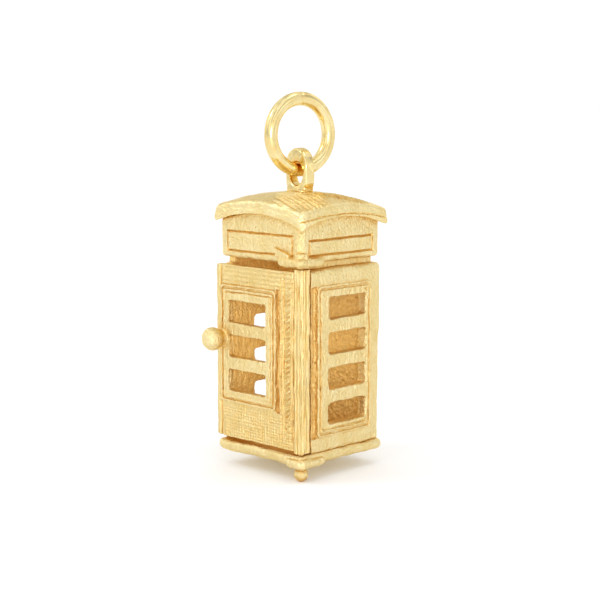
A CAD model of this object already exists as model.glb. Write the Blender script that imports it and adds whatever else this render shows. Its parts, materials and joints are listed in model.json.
import json
import math
from contextlib import contextmanager

import bmesh
import bpy
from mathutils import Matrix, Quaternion, Vector

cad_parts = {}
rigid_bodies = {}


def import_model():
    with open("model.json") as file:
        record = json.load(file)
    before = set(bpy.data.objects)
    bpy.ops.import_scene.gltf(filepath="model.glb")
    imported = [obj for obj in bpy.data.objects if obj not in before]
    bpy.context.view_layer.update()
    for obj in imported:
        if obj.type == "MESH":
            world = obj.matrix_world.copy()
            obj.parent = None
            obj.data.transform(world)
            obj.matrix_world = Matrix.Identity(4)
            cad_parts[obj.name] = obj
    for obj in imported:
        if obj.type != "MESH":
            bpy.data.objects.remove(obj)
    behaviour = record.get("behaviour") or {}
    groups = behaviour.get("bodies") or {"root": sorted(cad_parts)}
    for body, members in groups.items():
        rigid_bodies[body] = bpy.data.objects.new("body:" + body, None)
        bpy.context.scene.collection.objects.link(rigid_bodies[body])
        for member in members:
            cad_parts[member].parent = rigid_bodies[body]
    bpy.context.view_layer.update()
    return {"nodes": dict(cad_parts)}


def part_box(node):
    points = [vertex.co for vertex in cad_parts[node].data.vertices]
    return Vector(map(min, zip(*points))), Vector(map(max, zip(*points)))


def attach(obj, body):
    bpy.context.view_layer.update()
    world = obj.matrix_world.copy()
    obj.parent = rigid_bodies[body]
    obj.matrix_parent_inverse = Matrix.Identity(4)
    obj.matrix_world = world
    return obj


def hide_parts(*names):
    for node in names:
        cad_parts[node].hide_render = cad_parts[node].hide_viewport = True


for leftover in list(bpy.data.objects):
    bpy.data.objects.remove(leftover)
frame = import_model()

# The charm is about 30 mm long. Pieces are shaped in millimetres and brought to metres when they
# are done, so every length below is in millimetres unless it says otherwise.
MM = 0.001
X, Y, Z = range(3)

RING_TURN = math.radians(-9.5)      # how far the bail and the ring hang turned about the upright
RING_RADIUS = 2.75                  # to the middle of the wire
WIRE = 0.525                        # radius of the ring's wire
CAMERA_TURN = 0.776                 # the side that the charm is looked at from, in radians
ROOF_TILT = math.radians(-1.3)      # the roof was soldered on a little lower on the right
ROOF_SHIFT = (0.05, 0.05, 0.14)     # and a little off the middle


# ---------------------------------------------------------------- bench tools

def take(obj):
    """Leaves obj as the only selected object."""
    if bpy.context.object and bpy.context.object.mode != "OBJECT":
        bpy.ops.object.mode_set(mode="OBJECT")
    bpy.ops.object.select_all(action="DESELECT")
    obj.select_set(True)
    bpy.context.view_layer.objects.active = obj


def clear_bench():
    """Leaves nothing selected."""
    bpy.ops.object.select_all(action="DESELECT")


def room(node):
    """The lowest and highest corner of a CAD node, in millimetres."""
    lo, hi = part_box(node)
    return lo / MM, hi / MM


@contextmanager
def editing(obj):
    """Edit mode on obj, with nothing in it selected at the start."""
    take(obj)
    bpy.ops.object.mode_set(mode="EDIT")
    bpy.ops.mesh.select_all(action="DESELECT")
    yield obj
    bpy.ops.object.mode_set(mode="OBJECT")


def pick_faces(obj, test):
    """Selects the faces whose middle and normal pass the test."""
    bpy.ops.mesh.select_mode(type="FACE")
    bpy.ops.mesh.select_all(action="DESELECT")
    mesh = bmesh.from_edit_mesh(obj.data)
    mesh.normal_update()
    for face in mesh.faces:
        if test(face.calc_center_median(), face.normal):
            face.select_set(True)
    mesh.select_flush_mode()
    bmesh.update_edit_mesh(obj.data)


def pick_edges(obj, test):
    """Selects the edges whose two ends pass the test."""
    bpy.ops.mesh.select_mode(type="EDGE")
    bpy.ops.mesh.select_all(action="DESELECT")
    mesh = bmesh.from_edit_mesh(obj.data)
    for edge in mesh.edges:
        if test(edge.verts[0].co, edge.verts[1].co):
            edge.select_set(True)
    mesh.select_flush_mode()
    bmesh.update_edit_mesh(obj.data)


def pick_corners(obj, test):
    """Selects the corners whose place passes the test."""
    bpy.ops.mesh.select_mode(type="VERT")
    bpy.ops.mesh.select_all(action="DESELECT")
    mesh = bmesh.from_edit_mesh(obj.data)
    for vert in mesh.verts:
        if test(vert.co):
            vert.select_set(True)
    mesh.select_flush_mode()
    bmesh.update_edit_mesh(obj.data)


def apply_shape(obj, kind, **settings):
    """Adds one modifier, sets it up and applies it."""
    modifier = obj.modifiers.new("shape", kind)
    for name, value in settings.items():
        setattr(modifier, name, value)
    take(obj)
    bpy.ops.object.modifier_apply(modifier=modifier.name)


def named(name):
    """Names the primitive that was just added and sets its place into its mesh."""
    obj = bpy.context.object
    obj.name = obj.data.name = name
    bpy.ops.object.transform_apply(location=True, rotation=True, scale=True)
    return obj


def block(name, lo, hi):
    """A block between two corners."""
    lo, hi = Vector(lo), Vector(hi)
    clear_bench()
    bpy.ops.mesh.primitive_cube_add(size=1, location=(lo + hi) / 2)
    bpy.context.object.scale = hi - lo
    return named(name)


def ball(name, middle, radii, segments=48):
    """A ball, or a flattened one, with a radius along each axis."""
    clear_bench()
    bpy.ops.mesh.primitive_uv_sphere_add(segments=segments, ring_count=segments // 2, radius=1,
                                         location=middle)
    bpy.context.object.scale = radii
    return named(name)


def rod(name, start, end, radius, segments=48):
    """A round bar from one point to another."""
    start, end = Vector(start), Vector(end)
    clear_bench()
    bpy.ops.mesh.primitive_cylinder_add(
        vertices=segments, radius=radius, depth=(end - start).length, location=(start + end) / 2,
        rotation=(end - start).to_track_quat("Z", "Y").to_euler())
    return named(name)


def round_corners(obj, axis, radius, where=None, segments=6):
    """Rounds the edges of a block that run along one axis; where() picks some of them by their middle."""
    others = [i for i in range(3) if i != axis]
    with editing(obj):
        pick_edges(obj, lambda a, b: all(abs(a[i] - b[i]) < 1e-4 for i in others)
                   and abs(a[axis] - b[axis]) > 1e-3 and (where is None or where((a + b) / 2)))
        bpy.ops.mesh.bevel(offset=radius, segments=segments, affect="EDGES")


def soften(obj, width, segments=3, angle=35):
    """Takes the sharpness off every edge, as casting and tumbling do."""
    apply_shape(obj, "BEVEL", width=width, segments=segments, limit_method="ANGLE",
                angle_limit=math.radians(angle), harden_normals=False)


def cut(obj, *tools):
    """Cuts the tools' shapes out of obj and puts the tools away."""
    for tool in tools:
        apply_shape(obj, "BOOLEAN", operation="DIFFERENCE", solver="EXACT", object=tool)
        bpy.data.objects.remove(tool)


def solder(obj, *others):
    """Joins loose pieces to obj; cast_skin then makes one body of them."""
    take(obj)
    for other in others:
        other.select_set(True)
    bpy.ops.object.join()
    return obj


def cast_skin(obj, size, smoothing=3):
    """One closed, evenly dense skin over everything in obj, with edges as soft as a casting's."""
    apply_shape(obj, "REMESH", mode="VOXEL", voxel_size=size, adaptivity=0.0)
    apply_shape(obj, "SMOOTH", factor=0.5, iterations=smoothing)


def slice_up(obj, step, axes=(X, Y, Z)):
    """Cuts long faces across at even steps, so that they can take an uneven shape."""
    for axis in axes:
        normal = [0.0, 0.0, 0.0]
        normal[axis] = 1.0
        low = min(v.co[axis] for v in obj.data.vertices)
        high = max(v.co[axis] for v in obj.data.vertices)
        count = int((high - low) / step)
        with editing(obj):
            for i in range(1, count + 1):
                bpy.ops.mesh.select_all(action="SELECT")
                place = [0.0, 0.0, 0.0]
                place[axis] = low + (high - low) * i / (count + 1)
                bpy.ops.mesh.bisect(plane_co=place, plane_no=normal, threshold=1e-5)


def area(obj, weight):
    """A vertex group from a weight between 0 and 1 for each place and normal."""
    group = obj.vertex_groups.new(name="area")
    for vert in obj.data.vertices:
        value = weight(vert.co, vert.normal)
        if value > 0:
            group.add([vert.index], value, "REPLACE")
    return group.name


def relief(obj, texture, size, depth, turn=(0, 0, 0), direction="NORMAL", weight=None):
    """Raises and sinks the skin in a pattern. size is the pattern's width along each of its own axes."""
    clear_bench()
    bpy.ops.object.empty_add(location=(0, 0, 0), rotation=[math.radians(t) for t in turn])
    guide = bpy.context.object
    guide.scale = size
    bpy.context.view_layer.update()
    group = area(obj, weight) if weight else ""
    apply_shape(obj, "DISPLACE", texture=texture, texture_coords="OBJECT", texture_coords_object=guide,
                strength=depth, mid_level=0.5, direction=direction, vertex_group=group)
    if group:
        obj.vertex_groups.remove(obj.vertex_groups[group])
    bpy.data.objects.remove(guide)


def sink(obj, depth, weight):
    """Presses the skin in where the weight is."""
    apply_shape(obj, "DISPLACE", strength=-depth, mid_level=0.0, vertex_group=area(obj, weight))
    obj.vertex_groups.clear()


def cloud_texture(name, colour=False, octaves=1):
    """Soft unevenness, in grey or with a different unevenness in each of three colours."""
    texture = bpy.data.textures.new(name, type="CLOUDS")
    texture.noise_scale = 1.0
    texture.noise_depth = octaves
    texture.cloud_type = "COLOR" if colour else "GRAYSCALE"
    return texture


def band_texture(name, wander):
    """Even bands that wander a little from straight."""
    texture = bpy.data.textures.new(name, type="WOOD")
    texture.wood_type = "BANDNOISE"
    texture.noise_basis_2 = "SIN"
    texture.noise_scale = 1.0
    texture.turbulence = wander
    return texture


UNEVEN = cloud_texture("uneven", colour=True)
LUMPS = cloud_texture("lumps")
GRAIN = cloud_texture("grain", octaves=2)
BANDS = band_texture("bands", 3.0)
LINES = band_texture("lines", 4.0)

# The band textures repeat every 2 pi / 10 of their own length, so a size of BAND gives 1 mm a band.
BAND = 10 / (2 * math.pi)
ENDLESS = 400.0                     # a size along which a pattern doesn't change


def hand_made(obj, depth=0.09, size=1.6):
    """Bends a piece a little, as wax that was carved by hand. Pieces that meet bend alike."""
    relief(obj, UNEVEN, (size, size, size), depth, direction="RGB_TO_XYZ")


def grainy(obj, depth=0.03, size=0.26):
    """The pitted skin that the casting mould leaves."""
    relief(obj, GRAIN, (size, size, size), depth)


def ridges(obj, axis, step, depth, weight, length=80.0, texture=BANDS):
    """Even ridges that repeat along one axis."""
    size = [length] * 3
    size[axis] = step * BAND
    relief(obj, texture, size, depth, weight=weight)


def streaks(obj, axis, width, depth, weight=None, length=3.0):
    """Brushed or filed lines that run along one axis, each a little different."""
    size = [width] * 3
    size[axis] = length
    relief(obj, GRAIN, size, depth, weight=weight)


def ramp(value, low, high):
    """0 below low, 1 above high, and straight between."""
    return min(1.0, max(0.0, (value - low) / (high - low)))


def span(value, low, high, edge=0.1):
    """1 between low and high and 0 outside, with a soft edge."""
    return min(ramp(value, low - edge, low + edge), 1 - ramp(value, high - edge, high + edge))


# ---------------------------------------------------------------- gold

def sockets(group, ins, outs):
    """Gives a node group its named inputs and outputs."""
    for name, kind, value in ins:
        socket = group.interface.new_socket(name=name, in_out="INPUT", socket_type=kind)
        if value is not None:
            socket.default_value = value
    for name, kind in outs:
        group.interface.new_socket(name=name, in_out="OUTPUT", socket_type=kind)
    return group.nodes.new("NodeGroupInput"), group.nodes.new("NodeGroupOutput")


def node(tree, kind, links=(), **settings):
    """A node with its settings, and its inputs linked or set by name or number."""
    made = tree.nodes.new(kind)
    for name, value in settings.items():
        setattr(made, name, value)
    for key, value in dict(links).items():
        if isinstance(value, bpy.types.NodeSocket):
            tree.links.new(value, made.inputs[key])
        else:
            made.inputs[key].default_value = value
    return made


def in_millimetres(tree):
    """A place on the piece, in millimetres."""
    place = node(tree, "ShaderNodeTexCoord")
    return node(tree, "ShaderNodeVectorMath", {0: place.outputs["Object"], "Scale": 1 / MM},
                operation="SCALE").outputs["Vector"]


def ranged(tree, value, low, high, to_low=0.0, to_high=1.0):
    """A value brought from one range to another."""
    return node(tree, "ShaderNodeMapRange", {"Value": value, "From Min": low, "From Max": high,
                                             "To Min": to_low, "To Max": to_high}).outputs["Result"]


def maths(tree, operation, *values):
    """One sum on values or sockets."""
    return node(tree, "ShaderNodeMath", dict(enumerate(values)), operation=operation).outputs[0]


def mixed(tree, share, first, second):
    """Two colours mixed. A Mix node's colours are its inputs 6 and 7, and its output 2."""
    return node(tree, "ShaderNodeMix", {"Factor": share, 6: first, 7: second},
                data_type="RGBA").outputs[2]


def cast_grain_group():
    """Fine sand-like grain with a few larger pits, and a slow change of tone over the piece."""
    group = bpy.data.node_groups.new("cast_grain", "ShaderNodeTree")
    pits_per_grain, pit_radius, tone_scale = 0.45, 0.22, 0.7
    given, out = sockets(group,
                         [("Grain Width", "NodeSocketFloat", 0.16), ("Pits", "NodeSocketFloat", 0.4)],
                         [("Height", "NodeSocketFloat"), ("Tone", "NodeSocketFloat")])
    place = in_millimetres(group)
    finer = maths(group, "DIVIDE", 1.0, given.outputs["Grain Width"])
    fine = node(group, "ShaderNodeTexNoise",
                {"Vector": place, "Scale": finer, "Detail": 3.0, "Roughness": 0.6})
    pits = node(group, "ShaderNodeTexVoronoi",
                {"Vector": place, "Scale": maths(group, "MULTIPLY", finer, pits_per_grain)})
    pit_mask = ranged(group, pits.outputs["Distance"], 0.0, pit_radius, 1.0, 0.0)
    slow = node(group, "ShaderNodeTexNoise", {"Vector": place, "Scale": tone_scale, "Detail": 2.0})
    height = maths(group, "SUBTRACT", fine.outputs["Fac"],
                   maths(group, "MULTIPLY", pit_mask, given.outputs["Pits"]))
    group.links.new(height, out.inputs["Height"])
    group.links.new(slow.outputs["Fac"], out.inputs["Tone"])
    return group


def brushed_group():
    """Brush or file lines that run along the direction in which the pattern is stretched."""
    group = bpy.data.node_groups.new("brushed_lines", "ShaderNodeTree")
    given, out = sockets(group, [("Stretch", "NodeSocketVector", (12.0, 12.0, 1.0)),
                                 ("Turn", "NodeSocketVector", (0.0, 0.0, 0.0))],
                         [("Height", "NodeSocketFloat")])
    turned = node(group, "ShaderNodeVectorRotate",
                  {"Vector": in_millimetres(group), "Rotation": given.outputs["Turn"]},
                  rotation_type="EULER_XYZ")
    drawn = node(group, "ShaderNodeVectorMath",
                 {0: turned.outputs["Vector"], 1: given.outputs["Stretch"]}, operation="MULTIPLY")
    lines = node(group, "ShaderNodeTexNoise",
                 {"Vector": drawn.outputs["Vector"], "Scale": 1.0, "Detail": 2.0, "Roughness": 0.55})
    group.links.new(lines.outputs["Fac"], out.inputs["Height"])
    return group


def tarnish_group():
    """Warm tarnish: 1 where the skin is sheltered or dips, and 0 where it is rubbed bright."""
    group = bpy.data.node_groups.new("sheltered", "ShaderNodeTree")
    given, out = sockets(group, [("Openness", "NodeSocketFloat", 1.0), ("Height", "NodeSocketFloat", 0.5),
                                 ("Edge", "NodeSocketFloat", 0.5), ("Depth", "NodeSocketFloat", 0.6)],
                         [("Mask", "NodeSocketFloat")])
    shelter = ranged(group, given.outputs["Openness"], 0.45, 0.95, 1.0, 0.0)
    hollow = ranged(group, given.outputs["Height"], 0.28, 0.50, 1.0, 0.0)
    dip = ranged(group, given.outputs["Edge"], 0.42, 0.52, 1.0, 0.0)
    marks = maths(group, "MULTIPLY", maths(group, "MAXIMUM", hollow, dip), given.outputs["Depth"])
    group.links.new(node(group, "ShaderNodeMath", {0: shelter, 1: marks}, operation="ADD",
                         use_clamp=True).outputs[0], out.inputs["Mask"])
    return group


def cabin_group():
    """A mask that is 1 on the skin inside the cabin, which no polishing wheel reaches."""
    lo, hi = room("left_wall")[0], room("right_wall")[1]
    group = bpy.data.node_groups.new("inside_cabin", "ShaderNodeTree")
    given, out = sockets(group, [("Softness", "NodeSocketFloat", 0.06)], [("Mask", "NodeSocketFloat")])
    place = node(group, "ShaderNodeSeparateXYZ", {0: in_millimetres(group)})
    side_skin, end_skin = 0.62, 0.38
    above_floor, to_ceiling = (lo.z + 0.02, lo.z + 0.05), (hi.z + 0.6, hi.z + 0.55)
    mask = None
    for axis, half in (("X", hi.x - side_skin), ("Y", hi.y - end_skin)):
        inside = node(group, "ShaderNodeMapRange",
                      {"Value": maths(group, "ABSOLUTE", place.outputs[axis]),
                       "From Min": half, "To Min": 1.0,
                       "From Max": maths(group, "ADD", half, given.outputs["Softness"]), "To Max": 0.0})
        inside = inside.outputs["Result"]
        mask = inside if mask is None else maths(group, "MULTIPLY", mask, inside)
    for low, high in (above_floor, to_ceiling):
        mask = maths(group, "MULTIPLY", mask, ranged(group, place.outputs["Z"], low, high))
    group.links.new(mask, out.inputs["Mask"])
    return group


CAST_GRAIN = cast_grain_group()
CABIN = cabin_group()
BRUSHED = brushed_group()
SHELTERED = tarnish_group()


PALE = ((0.84, 0.685, 0.33, 1), (0.90, 0.765, 0.42, 1))     # each gold wanders between two tones
RICH = ((0.81, 0.65, 0.29, 1), (0.88, 0.74, 0.385, 1))
WARM = (0.80, 0.54, 0.19, 1)                                # in the recesses
UNPOLISHED = (0.98, 0.71, 0.26, 1)                          # inside the cabin
UNPOLISHED_METAL = 0.35
EDGE_TINT = (1.0, 0.88, 0.62, 1)
SHELTER_REACH = 0.7


def gold(name, roughness, grain_width, grain_depth, pits, lines, line_depth, tarnish, turn=(0, 0, 0),
         tones=PALE):
    """A gold: bright where it is rubbed and warm in its recesses, with grain and tool marks in its skin."""
    material = bpy.data.materials.new(name)
    material.use_nodes = True
    tree = material.node_tree
    shader = tree.nodes["Principled BSDF"]
    grain = node(tree, "ShaderNodeGroup", node_tree=CAST_GRAIN)
    grain.inputs["Grain Width"].default_value = grain_width
    grain.inputs["Pits"].default_value = pits
    marks = node(tree, "ShaderNodeGroup", node_tree=BRUSHED)
    marks.inputs["Stretch"].default_value = lines
    marks.inputs["Turn"].default_value = [math.radians(t) for t in turn]
    open_air = node(tree, "ShaderNodeAmbientOcclusion", {"Distance": SHELTER_REACH * MM}, samples=8)
    edge = node(tree, "ShaderNodeNewGeometry")
    sheltered = node(tree, "ShaderNodeGroup", node_tree=SHELTERED)
    tree.links.new(open_air.outputs["AO"], sheltered.inputs["Openness"])
    tree.links.new(maths(tree, "MINIMUM", marks.outputs["Height"], grain.outputs["Height"]),
                   sheltered.inputs["Height"])
    tree.links.new(edge.outputs["Pointiness"], sheltered.inputs["Edge"])
    sheltered.inputs["Depth"].default_value = tarnish
    tone = ranged(tree, grain.outputs["Tone"], 0.35, 0.65)
    colour = mixed(tree, sheltered.outputs["Mask"], mixed(tree, tone, *tones), WARM)
    cabin = node(tree, "ShaderNodeGroup", node_tree=CABIN)
    tree.links.new(mixed(tree, cabin.outputs["Mask"], colour, UNPOLISHED), shader.inputs["Base Color"])
    tree.links.new(ranged(tree, cabin.outputs["Mask"], 0.0, 1.0, 1.0, UNPOLISHED_METAL),
                   shader.inputs["Metallic"])
    in_pits, on_grain = roughness + 0.1, roughness - 0.06
    tree.links.new(ranged(tree, grain.outputs["Height"], 0.2, 0.8, in_pits, on_grain),
                   shader.inputs["Roughness"])
    shader.inputs["Specular Tint"].default_value = EDGE_TINT
    first = node(tree, "ShaderNodeBump", {"Height": grain.outputs["Height"], "Strength": 1.0,
                                          "Distance": grain_depth * MM})
    second = node(tree, "ShaderNodeBump", {"Height": marks.outputs["Height"], "Strength": 1.0,
                                           "Distance": line_depth * MM, "Normal": first.outputs["Normal"]})
    tree.links.new(second.outputs["Normal"], shader.inputs["Normal"])
    return material


CAST = gold("cast_gold", roughness=0.32, grain_width=0.17, grain_depth=0.12, pits=0.5,
            lines=(5.0, 5.0, 2.5), line_depth=0.07, tarnish=0.55)
BRUSHED_UP = gold("brushed_gold", roughness=0.30, grain_width=0.16, grain_depth=0.08, pits=0.3,
                  lines=(9.0, 9.0, 0.8), line_depth=0.10, tarnish=0.55, tones=RICH)
FILED = gold("filed_gold", roughness=0.28, grain_width=0.15, grain_depth=0.05, pits=0.25,
             lines=(0.3, 3.4, 3.4), line_depth=0.10, tarnish=0.45, turn=(0, 0, 18))
POLISHED = gold("polished_gold", roughness=0.15, grain_width=0.30, grain_depth=0.006, pits=0.1,
                lines=(1.5, 1.5, 1.5), line_depth=0.006, tarnish=0.5, tones=RICH)


# ---------------------------------------------------------------- tying pieces to the frame

def finish_piece(obj, body, metal, nodes=(), flat_angle=32):
    """Brings a piece from millimetres to metres, sets its metal and ties it to the frame."""
    take(obj)
    obj.scale = (MM, MM, MM)
    bpy.ops.object.transform_apply(location=True, rotation=True, scale=True)
    bpy.ops.object.shade_smooth_by_angle(angle=math.radians(flat_angle))
    obj.data.materials.clear()
    obj.data.materials.append(metal)
    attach(obj, body)
    if nodes:
        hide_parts(*nodes)
    return obj


def casting_of(node_name, name):
    """A merged copy of a CAD node, in millimetres, to be given a cast skin."""
    original = frame["nodes"][node_name]
    copy = original.copy()
    copy.data = original.data.copy()
    copy.parent = None
    copy.rotation_mode = "XYZ"
    for key in list(copy.keys()):
        del copy[key]
    bpy.context.scene.collection.objects.link(copy)
    copy.name = copy.data.name = name
    copy.hide_render = copy.hide_viewport = False
    take(copy)
    copy.scale = (1 / MM, 1 / MM, 1 / MM)
    bpy.ops.object.transform_apply(location=True, rotation=True, scale=True)
    with editing(copy):
        bpy.ops.mesh.select_all(action="SELECT")
        bpy.ops.mesh.remove_doubles(threshold=0.001)
        bpy.ops.mesh.normals_make_consistent(inside=False)
    return copy


# ---------------------------------------------------------------- ring and bail

def make_jump_ring():
    """A drawn wire ring, closed with a thin line of solder at the top."""
    seam = 0.05
    clear_bench()
    bpy.ops.mesh.primitive_torus_add(major_radius=RING_RADIUS, minor_radius=WIRE, major_segments=144,
                                     minor_segments=36, location=(0, 0, 0))
    ring = bpy.context.object
    ring.rotation_euler = (0, math.radians(90), 0)
    ring = named("ring_wire")
    with editing(ring):
        for side in (-1, 1):
            for width in (seam, seam * 2.2):
                pick_faces(ring, lambda middle, normal: middle.z > 0)
                bpy.ops.mesh.bisect(plane_co=(0, side * width, 0), plane_no=(0, 1, 0), threshold=1e-5)
        pick_corners(ring, lambda place: place.z > 0 and abs(place.y) < seam * 1.2)
        bpy.ops.transform.shrink_fatten(value=-0.035)
        # the drawplate leaves the wire very slightly square
        pick_corners(ring, lambda place: abs(place.x) > WIRE * 0.86)
        bpy.ops.transform.resize(value=(0.985, 1, 1))
    hand_made(ring, depth=0.05, size=2.4)
    ring.rotation_euler = (0, 0, RING_TURN)
    return finish_piece(ring, "ring", POLISHED, ["jump_ring"], flat_angle=60)


def drawn_out(name, middle_height, radius, half_depth, length):
    """A disc whose lower half is drawn down by a length, so that it is round at both ends."""
    made = rod(name, (0, -half_depth, middle_height), (0, half_depth, middle_height), radius, segments=64)
    with editing(made):
        pick_corners(made, lambda place: place.z < middle_height - 0.01)
        bpy.ops.transform.translate(value=(0, 0, -length))
    return made


def make_bail():
    """The strap loop on the roof: a rounded crown, two legs, and a foot that spreads into solder."""
    lo, hi = room("bail")
    half_width, half_depth, wall = 1.36, 0.46, 0.50
    crown = hi.z - half_width + 0.13
    eye_floor = lo.z + 0.92
    eye_top = WIRE - RING_RADIUS + 0.10
    roof_top = room("roof_dome")[1].z
    bail = drawn_out("bail_loop", crown, half_width, half_depth, crown - half_width - lo.z)
    eye = half_width - wall
    cut(bail, drawn_out("eye", eye_top - eye, eye, 1.0, eye_top - 2 * eye - eye_floor))
    soften(bail, 0.19, segments=4)
    slice_up(bail, 0.2, axes=(Z,))
    with editing(bail):
        pick_corners(bail, lambda place: place.z < roof_top + 0.42)
        bpy.ops.transform.resize(value=(1.07, 1.10, 1))
        pick_corners(bail, lambda place: place.z < roof_top + 0.18)
        bpy.ops.transform.resize(value=(1.08, 1.20, 1))
    puddle = ball("puddle", (0, 0, roof_top + 0.02), (1.72, 0.80, 0.28))
    bail = solder(bail, puddle)
    bail.rotation_euler = (0, 0, RING_TURN)
    bpy.ops.object.transform_apply(location=True, rotation=True, scale=True)
    cast_skin(bail, 0.04, smoothing=10)
    hand_made(bail, depth=0.07, size=0.9)
    return finish_piece(bail, "booth", POLISHED, ["bail"])


# ---------------------------------------------------------------- roof

def make_roof():
    """The pillowed roof and its thick rolled edge, cast in one, with file marks on the near slopes."""
    rim_lo, rim_hi = room("roof_rim")
    roof = casting_of("roof_dome", "roof")
    rim = casting_of("roof_rim", "rim")
    drop_in = 0.42
    drop = ball("drop", (rim_hi.x - drop_in, rim_lo.y + drop_in, rim_lo.z + 0.10), (0.30, 0.30, 0.42),
                segments=24)
    roof = solder(roof, rim, drop)
    cast_skin(roof, 0.058, smoothing=54)
    roof.scale = (1.008, 1.008, 1)
    bpy.ops.object.transform_apply(location=True, rotation=True, scale=True)
    top = lambda place, normal: ramp(normal.z, 0.75, 0.95)
    near = lambda place, normal: (top(place, normal) * span(place.x - place.y, 1.2, 8.2, 0.4)
                                  * span(place.x + place.y, -2.8, 2.6, 0.5))
    right = lambda place, normal: (top(place, normal) * span(place.x - place.y, 0.3, 3.0, 0.5)
                                   * span(place.x + place.y, 2.6, 7.0, 0.5))
    relief(roof, LINES, (ENDLESS, 0.42 * BAND, ENDLESS), 0.18, turn=(0, 0, -18), weight=near)
    relief(roof, LINES, (0.30 * BAND, ENDLESS, ENDLESS), 0.24, turn=(0, 0, 58), weight=right)
    # the joint between the roof and its rolled edge shows on the right, and falls as the roof's arch does
    joint_width, arch_twice = 0.10, 48
    joint = lambda place: rim_hi.z + 0.20 - (place.x ** 2 + place.y ** 2) / arch_twice
    sink(roof, 0.11, lambda place, normal: ramp(normal.x, 0.3, 0.6) * (normal.z < 0.9)
         * max(0.0, 1 - abs(place.z - joint(place)) / joint_width))
    hand_made(roof)
    relief(roof, LUMPS, (0.8, 0.8, 0.8), 0.05)
    grainy(roof, 0.02)
    take(roof)
    tilt_axis = (math.sin(CAMERA_TURN), -math.cos(CAMERA_TURN), 0)
    roof.rotation_euler = Quaternion(tilt_axis, ROOF_TILT).to_euler()
    middle = Vector((0, 0, rim_lo.z))
    roof.location = middle - roof.rotation_euler.to_matrix() @ middle + Vector(ROOF_SHIFT)
    bpy.ops.object.transform_apply(location=True, rotation=True, scale=True)
    finish_piece(roof, "booth", FILED, ["roof_dome", "roof_rim"])


# each side of the booth: its name, the axis it faces along, and which way
SIDES = (("front", Y, -1), ("back", Y, 1), ("left", X, -1), ("right", X, 1))


def sign_outline(side, axis, out, width=0.10):
    """A weight that is 1 along the line round a sign on one side of the fascia."""
    lo, hi = room(side + "_sign_panel")
    across, up = (lo[1 - axis] + hi[1 - axis]) / 2, (lo.z + hi.z) / 2
    half_across, half_up = (hi[1 - axis] - lo[1 - axis]) / 2, (hi.z - lo.z) / 2
    faces_out, near_face = 0.6, 4

    def weight(place, normal):
        on_side = (normal[axis] * out > faces_out) * (place[axis] * out > near_face)
        past = max(abs(place[1 - axis] - across) - half_across, abs(place.z - up) - half_up)
        return on_side * max(0.0, 1 - abs(past - width / 2) / width)
    return weight


def make_fascia():
    """The block under the roof, arched to meet it, with a sign let into each side by thin grooves."""
    lo, hi = room("fascia_box")
    arch, arch_top = 13.40, -5.12
    fascia = block("fascia", lo, (hi.x, hi.y, arch_top))
    round_corners(fascia, Z, 0.50)
    with editing(fascia):
        pick_edges(fascia, lambda a, b: max(a.z, b.z) < lo.z + 0.01)
        bpy.ops.mesh.bevel(offset=0.30, segments=4, affect="EDGES")
    dome = ball("dome", (0, 0, arch_top - arch), (arch, arch, arch), segments=256)
    apply_shape(fascia, "BOOLEAN", operation="INTERSECT", solver="EXACT", object=dome)
    bpy.data.objects.remove(dome)
    cast_skin(fascia, 0.06, smoothing=2)
    for side, axis, out in SIDES:
        sink(fascia, 0.17, sign_outline(side, axis, out))
    hand_made(fascia)
    relief(fascia, LUMPS, (1.1, 1.1, 1.1), 0.06)
    streaks(fascia, Z, 0.22, 0.03, length=2.0)
    relief(fascia, GRAIN, (0.5, 0.5, 0.35), 0.07)
    grainy(fascia, 0.04)
    finish_piece(fascia, "booth", CAST, ["fascia_box"])

    for side, axis, out in SIDES:
        sign_lo, sign_hi = room(side + "_sign_panel")
        face = (hi if out > 0 else lo)[axis]
        let_in, proud = 0.3, 0.015
        depth = sorted((face - let_in * out, face + proud * out))
        plate = inset_block(side + "_sign_plate", sign_lo, sign_hi, axis, 0.02, depth, 0.08)
        soften(plate, 0.05)
        cast_skin(plate, 0.06, smoothing=1)
        hand_made(plate)
        streaks(plate, 1 - axis, 0.14, 0.045, length=1.2)
        grainy(plate, 0.03)
        finish_piece(plate, "booth", CAST, [side + "_sign_panel"])

    neck = casting_of("neck_band", "neck")
    cast_skin(neck, 0.07)
    hand_made(neck)
    grainy(neck, 0.02)
    finish_piece(neck, "booth", CAST, ["neck_band"])


# ---------------------------------------------------------------- walls and windows

def pane_tools(axis, zone_lo, zone_hi, count, bar, depth, radius=0.28):
    """One rounded cutter for each pane of a window, spaced evenly up the window."""
    height = (zone_hi.z - zone_lo.z - bar * (count - 1)) / count
    tools = []
    for i in range(count):
        lo, hi = zone_lo.copy(), zone_hi.copy()
        lo.z = zone_lo.z + i * (height + bar)
        hi.z = lo.z + height
        lo[axis], hi[axis] = depth
        tool = block("pane", lo, hi)
        round_corners(tool, axis, radius, segments=5)
        tools.append(tool)
    return tools


def inset_block(name, lo, hi, axis, inset, depth, radius):
    """A block with rounded corners, set in from a frame's edge and reaching over the depth given."""
    lo, hi = lo.copy(), hi.copy()
    for i in range(3):
        if i != axis:
            lo[i] += inset
            hi[i] -= inset
    lo[axis], hi[axis] = depth
    made = block(name, lo, hi)
    round_corners(made, axis, radius, segments=5)
    return made


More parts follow.
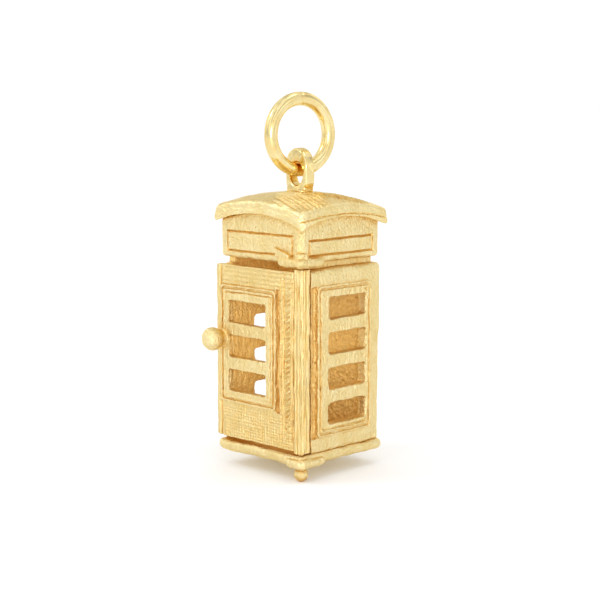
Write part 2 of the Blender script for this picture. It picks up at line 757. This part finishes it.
def moulded_frame(name, lo, hi, axis, out, tools, grooves):
    """A window's frame: moulding lines cut round it one inside the other, and the panes cut through."""
    border = block(name, lo, hi)
    round_corners(border, axis, 0.34, segments=5)
    face = hi[axis] if out > 0 else lo[axis]
    for inset, width, deep in grooves:
        depth = sorted((face - deep * out, face + out))
        ring = inset_block("moulding", lo, hi, axis, inset, depth, 0.26)
        cut(ring, inset_block("island", lo, hi, axis, inset + width, (depth[0] - 1, depth[1] + 1), 0.18))
        cut(border, ring)
    cut(border, *tools)
    cast_skin(border, 0.052, smoothing=2)
    hand_made(border)
    relief(border, LUMPS, (0.8, 0.8, 0.8), 0.08)
    streaks(border, Z, 0.18, 0.10, length=1.1)
    grainy(border, 0.045, size=0.22)
    return border


def window_zone(lo, hi, axis, low_side, high_side, below, above):
    """Where a window's panes lie in its frame, from the widths of the frame's four sides."""
    zone_lo, zone_hi = lo.copy(), hi.copy()
    across = 1 - axis
    zone_lo[across] += low_side
    zone_hi[across] -= high_side
    zone_lo.z += below
    zone_hi.z -= above
    return zone_lo, zone_hi


# each moulding line: how far in from the frame's edge, how wide and how deep
MOULDINGS = ((0.17, 0.16, 0.17), (0.50, 0.11, 0.12))
SIDE_PANES = dict(count=4, bar=1.0)
DOOR_PANES = dict(count=3, bar=0.93, radius=0.2)


def make_side_wall(side, out):
    """A side wall with its window: four panes in a moulded frame, and a long groove beside it."""
    lo, hi = room(side + "_wall")
    frame_lo, frame_hi = room(side + "_window_frame")
    zone_lo, zone_hi = window_zone(frame_lo, frame_hi, X, low_side=1.16, high_side=0.60,
                                   below=0.90, above=0.90)
    outer = hi.x if out > 0 else lo.x
    reach = Vector((0, 0.05 * (out > 0), 0))
    wall = block(side + "_side", lo - reach, hi)
    round_corners(wall, Y, 0.42, where=lambda m: m.z > hi.z - 0.01 and abs(m.x - outer) < 0.01)
    round_corners(wall, Z, 0.40, where=lambda m: m.y > hi.y - 0.01 and abs(m.x - outer) < 0.01)
    groove_lo = Vector((outer - 0.28, frame_lo.y - 0.60, frame_lo.z))
    groove_hi = Vector((outer + 0.28, frame_lo.y, frame_hi.z))
    depth = (min(lo.x, hi.x) - 0.5, max(lo.x, hi.x) + 0.5)
    cut(wall, block("groove", groove_lo, groove_hi),
        *pane_tools(X, zone_lo, zone_hi, depth=depth, **SIDE_PANES))
    cast_skin(wall, 0.07, smoothing=2)
    hand_made(wall)
    face = lambda place, normal: ramp(normal.x * out, 0.4, 0.8)
    relief(wall, LUMPS, (1.2, 1.2, 1.2), 0.05, weight=face)
    streaks(wall, Y, 0.16, 0.05, weight=lambda place, normal: face(place, normal)
            * (1 - span(place.z, frame_lo.z, frame_hi.z, 0.3)))
    inner = lambda place, normal: ramp(-normal.x * out, 0.3, 0.7)
    streaks(wall, Z, 0.28, 0.24, weight=inner, length=0.9)
    relief(wall, GRAIN, (0.17, 0.17, 0.17), 0.10, weight=inner)
    grainy(wall, 0.045)
    finish_piece(wall, "booth", CAST, [side + "_wall"])

    into_wall = 0.1
    tools = pane_tools(X, zone_lo, zone_hi, depth=depth, **SIDE_PANES)
    border = moulded_frame(side + "_window", frame_lo - Vector((into_wall * (out > 0), 0, 0)),
                           frame_hi + Vector((into_wall * (out < 0), 0, 0)), X, out, tools, MOULDINGS)
    finish_piece(border, "booth", CAST, [side + "_window_frame"])


def make_back_wall():
    """The plain back, which reaches into both side walls and is rough inside."""
    lo, hi = room("back_wall")
    wall = block("back", lo - Vector((0.1, 0, 0)), hi + Vector((0.1, 0, 0)))
    cast_skin(wall, 0.06, smoothing=2)
    hand_made(wall)
    relief(wall, LUMPS, (1.2, 1.2, 1.2), 0.05)
    streaks(wall, Z, 0.20, 0.03, length=2.0)
    inner = lambda place, normal: ramp(-normal.y, 0.4, 0.8)
    relief(wall, GRAIN, (0.30, 0.30, 0.30), 0.24, weight=inner)
    relief(wall, GRAIN, (0.15, 0.15, 0.15), 0.10, weight=inner)
    grainy(wall, 0.02)
    finish_piece(wall, "booth", BRUSHED_UP, ["back_wall"])


def make_base():
    """The floor plate with its rolled rim, a little bent."""
    base = casting_of("base_plate", "base_rim")
    cast_skin(base, 0.065, smoothing=4)
    hand_made(base, depth=0.14)
    relief(base, LUMPS, (0.9, 0.9, 0.9), 0.07)
    grainy(base, 0.02)
    finish_piece(base, "booth", CAST, ["base_plate"])


# ---------------------------------------------------------------- door and hinge

def make_door():
    """The door: a lip down its free edge, a three-pane window, and a ridged stile on the hinge side."""
    lo, hi = room("door_panel")
    frame_lo, frame_hi = room("door_window_frame")
    zone_lo, zone_hi = window_zone(frame_lo, frame_hi, Y, low_side=0.92, high_side=1.08,
                                   below=0.94, above=1.22)
    stile = frame_hi.x + 0.41
    door = block("door_leaf", lo, hi)
    round_corners(door, Y, 0.34, where=lambda m: m.x < lo.x + 0.01)
    lip = block("lip", (lo.x, lo.y - 0.05, lo.z + 0.02), (lo.x + 0.48, hi.y, hi.z - 0.02))
    round_corners(lip, Z, 0.20)
    round_corners(lip, Y, 0.20)
    before = lo.y - 0.5
    depth = (before, hi.y + 0.5)
    cut(door,
        block("groove", (frame_hi.x, before, frame_lo.z - 0.1), (stile, lo.y + 0.26, frame_hi.z + 0.1)),
        block("lip_line", (lo.x + 0.46, before, lo.z - 1), (lo.x + 0.62, lo.y + 0.16, hi.z + 1)),
        block("head_line", (lo.x - 1, before, hi.z - 0.42), (hi.x - 0.9, lo.y + 0.08, hi.z - 0.30)),
        *pane_tools(Y, zone_lo, zone_hi, depth=depth, **DOOR_PANES))
    door = solder(door, lip)
    cast_skin(door, 0.055, smoothing=1)
    face = lambda place, normal: ramp(-normal.y, 0.5, 0.8)
    field = lambda place: span(place.x, lo.x + 0.62, hi.x)
    # upright ridges on the stile, with a twisted rope between them
    ridges(door, X, 0.30, 0.16, lambda p, n: face(p, n) * span(p.x, stile + 0.02, stile + 0.48, 0.05)
           * span(p.z, lo.z + 0.5, hi.z - 0.5, 0.4))
    ridges(door, X, 0.22, 0.10, lambda p, n: face(p, n) * span(p.x, hi.x - 0.34, hi.x, 0.05)
           * span(p.z, lo.z + 0.5, hi.z - 0.5, 0.4))
    relief(door, BANDS, (0.36 * BAND, ENDLESS, ENDLESS), 0.14, turn=(0, 58, 0),
           weight=lambda p, n: face(p, n) * span(p.x, stile + 0.54, stile + 1.02, 0.06)
           * span(p.z, lo.z + 1.0, hi.z - 1.4, 0.8))
    # lines across the head of the door and a fine hatch below the window
    above = lambda p, n: face(p, n) * field(p) * ramp(p.z, frame_hi.z - 0.1, frame_hi.z + 0.2)
    ridges(door, Z, 0.34, 0.06, above)
    below = lambda p, n: face(p, n) * field(p) * (1 - ramp(p.z, frame_lo.z - 0.4, frame_lo.z))
    ridges(door, X, 0.26, 0.05, below, texture=LINES)
    ridges(door, Z, 0.24, 0.04, below, texture=LINES)
    hand_made(door)
    streaks(door, Z, 0.13, 0.06, weight=face, length=2.2)
    streaks(door, Z, 0.15, 0.05, weight=lambda p, n: ramp(n.y, 0.5, 0.8), length=0.6)
    grainy(door, 0.045, size=0.2)
    finish_piece(door, "door", BRUSHED_UP, ["door_panel"])

    into_door = Vector((0, 0.1, 0))
    tools = pane_tools(Y, zone_lo, zone_hi, depth=depth, **DOOR_PANES)
    border = moulded_frame("door_window", frame_lo, frame_hi + into_door, Y, -1, tools, MOULDINGS)
    finish_piece(border, "door", CAST, ["door_window_frame"])

    post = casting_of("door_hinge_post", "hinge_post")
    cast_skin(post, 0.045, smoothing=2)
    hand_made(post)
    streaks(post, Z, 0.12, 0.10, length=3.0)
    ridges(post, X, 0.27, 0.07, lambda p, n: ramp(-n.y, 0.5, 0.9), texture=LINES)
    ridges(post, Y, 0.27, 0.07, lambda p, n: ramp(n.x, 0.5, 0.9), texture=LINES)
    grainy(post, 0.014)
    finish_piece(post, "door", BRUSHED_UP, ["door_hinge_post"])


def make_knob():
    """A ball on a thick neck that spreads where it meets the door."""
    lo, hi = room("door_knob")
    radius = (hi.z - lo.z) / 2
    middle = Vector(((lo.x + hi.x) / 2, lo.y + radius, (lo.z + hi.z) / 2))
    knob = ball("knob", middle, (radius * 1.10, radius * 0.98, radius * 1.12), segments=64)
    neck = rod("neck_bar", middle, (middle.x, hi.y + 0.05, middle.z), 0.68)
    foot = rod("foot", (middle.x, hi.y - 0.16, middle.z), (middle.x, hi.y + 0.05, middle.z), 0.80)
    knob = solder(knob, neck, foot)
    cast_skin(knob, 0.05, smoothing=10)
    hand_made(knob, depth=0.05, size=1.6)
    finish_piece(knob, "door", CAST, ["door_knob"])


def rounded_arms(lo, hi, proud=0.0):
    """Two thick round bars with ball ends, along the front and the right side of a lug's room."""
    lo, hi = lo - Vector((0, proud, 0)), hi + Vector((proud, 0, 0))
    radius = (hi.z - lo.z) / 2
    height = (lo.z + hi.z) / 2
    corner = Vector((hi.x - radius, lo.y + radius, height))
    arms = []
    for end in ((lo.x + radius, corner.y, height), (corner.x, hi.y - radius, height)):
        arms.append(rod("arm", corner, end, radius, segments=24))
        arms.append(ball("arm_end", end, (radius, radius, radius), segments=24))
    return arms


def shrunk_core(node_name, name):
    """A lug's casting drawn in on itself, so that the bars soldered round it make its outside."""
    core = casting_of(node_name, name)
    lo, hi = room(node_name)
    with editing(core):
        bpy.ops.mesh.select_all(action="SELECT")
        bpy.ops.transform.resize(value=(0.88, 0.88, 0.6), center_override=(lo + hi) / 2)
    return core


def make_hinge():
    """The strap and the lug that carry the door's pivots, and the pivots' rounded ends."""
    lo, hi = room("top_hinge_lug")
    lug = shrunk_core("top_hinge_lug", "hinge_strap")
    wedge = block("wedge", (lo.x - 0.35, lo.y + 0.03, hi.z - 0.12),
                  (lo.x + 1.20, lo.y + 0.60, hi.z + 0.62))
    with editing(wedge):
        pick_corners(wedge, lambda place: place.z > hi.z and place.x > lo.x + 0.5)
        bpy.ops.transform.translate(value=(0, 0, -0.45))
    drop = ball("drop", (hi.x - 0.62, lo.y + 0.62, hi.z + 0.14), (0.55, 0.55, 0.30), segments=24)
    knee = ball("knee", (hi.x - 0.40, lo.y + 0.40, (lo.z + hi.z) / 2), (0.60, 0.60, 0.41), segments=24)
    lug = solder(lug, wedge, drop, knee, *rounded_arms(lo, hi, proud=0.14))
    cast_skin(lug, 0.045, smoothing=7)
    hand_made(lug, depth=0.16, size=0.8)
    relief(lug, LUMPS, (0.45, 0.45, 0.45), 0.09)
    finish_piece(lug, "booth", CAST, ["top_hinge_lug"])

    lug = solder(shrunk_core("base_hinge_lug", "base_lug"), *rounded_arms(*room("base_hinge_lug")))
    cast_skin(lug, 0.045, smoothing=7)
    hand_made(lug, depth=0.16, size=0.7)
    relief(lug, LUMPS, (0.4, 0.4, 0.4), 0.10)
    finish_piece(lug, "booth", CAST, ["base_hinge_lug"])

    for node_name, name in (("top_pivot_pin", "top_pivot"), ("base_pivot_pin", "base_pivot")):
        pin = casting_of(node_name, name)
        cast_skin(pin, 0.035, smoothing=2)
        hand_made(pin, depth=0.08, size=0.7)
        relief(pin, LUMPS, (0.35, 0.35, 0.35), 0.04)
        finish_piece(pin, "booth", CAST, [node_name])


# ---------------------------------------------------------------- floor, light and camera

# place in metres, size across in metres and power in watts of each soft lamp
LAMPS = {"key": ((-0.12, -0.14, 0.17), 0.06, 0.065),
         "front": ((0.13, -0.11, 0.01), 0.05, 0.06),
         "top": ((0.06, 0.05, 0.22), 0.08, 0.03)}
CAMERA_HEIGHT_ANGLE = 0.141         # in radians
CAMERA_DISTANCE = 0.115             # in metres
LOOKED_AT = -0.012984               # height of the point in the middle of the view, in metres
LAMPS_AIM = -0.013                  # height that the lamps point at, in metres
AIR_SEEN = 1.05                     # brightness of the air behind the charm


def put_in_scene(name, data):
    """A new object for a lamp's or camera's data."""
    made = bpy.data.objects.new(name, data)
    bpy.context.scene.collection.objects.link(made)
    return made


def make_floor():
    """A plain pale floor that the charm just touches."""
    lowest = room("base_pivot_pin")[0].z * MM
    clear_bench()
    bpy.ops.mesh.primitive_plane_add(size=6.0, location=(0, 0, lowest))
    floor = named("floor")
    paper = bpy.data.materials.new("white_paper")
    paper.use_nodes = True
    tree = paper.node_tree
    shader = tree.nodes["Principled BSDF"]
    fibre = node(tree, "ShaderNodeTexNoise", {"Scale": 900.0, "Detail": 2.0})
    tree.links.new(ranged(tree, fibre.outputs["Fac"], 0.3, 0.7, 0.85, 0.9), shader.inputs["Roughness"])
    for socket, value in (("Base Color", (0.945, 0.95, 0.97, 1)), ("Specular IOR Level", 0.1),
                          ("Emission Color", (1, 1, 1, 1)), ("Emission Strength", 0.05)):
        shader.inputs[socket].default_value = value
    floor.data.materials.append(paper)


def make_air():
    """Plain white air, which the gold mirrors as lighter and darker patches."""
    world = bpy.data.worlds.new("white_air")
    world.use_nodes = True
    tree = world.node_tree
    around = node(tree, "ShaderNodeTexCoord").outputs["Generated"]
    patches = node(tree, "ShaderNodeTexNoise", {"Vector": around, "Scale": 2.6, "Detail": 2.0})
    lit = ranged(tree, patches.outputs["Fac"], 0.38, 0.62, 0.62, 1.46)
    seen = node(tree, "ShaderNodeLightPath").outputs["Is Camera Ray"]
    # a Mix node's numbers are its inputs 2 and 3
    strength = node(tree, "ShaderNodeMix", {0: seen, 2: lit, 3: AIR_SEEN}, data_type="FLOAT")
    tree.nodes["Background"].inputs["Color"].default_value = (1, 1, 1, 1)
    tree.links.new(strength.outputs[0], tree.nodes["Background"].inputs["Strength"])
    bpy.context.scene.cycles.glossy_bounces = 12
    bpy.context.scene.world = world


def make_lamps():
    """Three soft lamps, and a very weak one in the cabin."""
    aim = Vector((0, 0, LAMPS_AIM))
    for name, (place, size, power) in LAMPS.items():
        data = bpy.data.lights.new(name, "AREA")
        data.shape = "DISK"
        data.size = size
        data.energy = power
        lamp = put_in_scene(name, data)
        lamp.location = place
        lamp.rotation_euler = (aim - Vector(place)).to_track_quat("-Z", "Y").to_euler()

    # a small warm lamp stands in for the light that is thrown about inside the gold cabin
    data = bpy.data.lights.new("cabin_glow", "POINT")
    data.energy = 0.0001
    data.color = (1.0, 0.86, 0.62)
    data.shadow_soft_size = 1.5 * MM
    lamp = put_in_scene("cabin_glow", data)
    wall_lo, wall_hi = room("left_wall")
    lamp.location = (0, 0, (wall_lo.z + wall_hi.z) / 2 * MM)
    lamp.visible_camera = False


def make_camera():
    """The camera, a little above the charm and turned to its hinge corner."""
    data = bpy.data.cameras.new("camera")
    data.lens = 87.5
    data.sensor_width = 36.0
    data.clip_start = 0.005
    data.clip_end = 20.0
    camera = put_in_scene("camera", data)
    level = math.cos(CAMERA_HEIGHT_ANGLE)
    away = Vector((math.sin(CAMERA_TURN) * level, -math.cos(CAMERA_TURN) * level,
                   math.sin(CAMERA_HEIGHT_ANGLE)))
    camera.location = Vector((0, 0, LOOKED_AT)) + away * CAMERA_DISTANCE
    camera.rotation_euler = (-away).to_track_quat("-Z", "Y").to_euler()
    bpy.context.scene.camera = camera
    bpy.context.scene.view_settings.view_transform = "Standard"
    bpy.context.scene.view_settings.look = "None"



make_floor()
make_air()
make_lamps()
make_camera()
make_jump_ring()
make_bail()
make_roof()
make_fascia()
make_side_wall("left", -1)
make_side_wall("right", 1)
make_back_wall()
make_base()
make_door()
make_knob()
make_hinge()
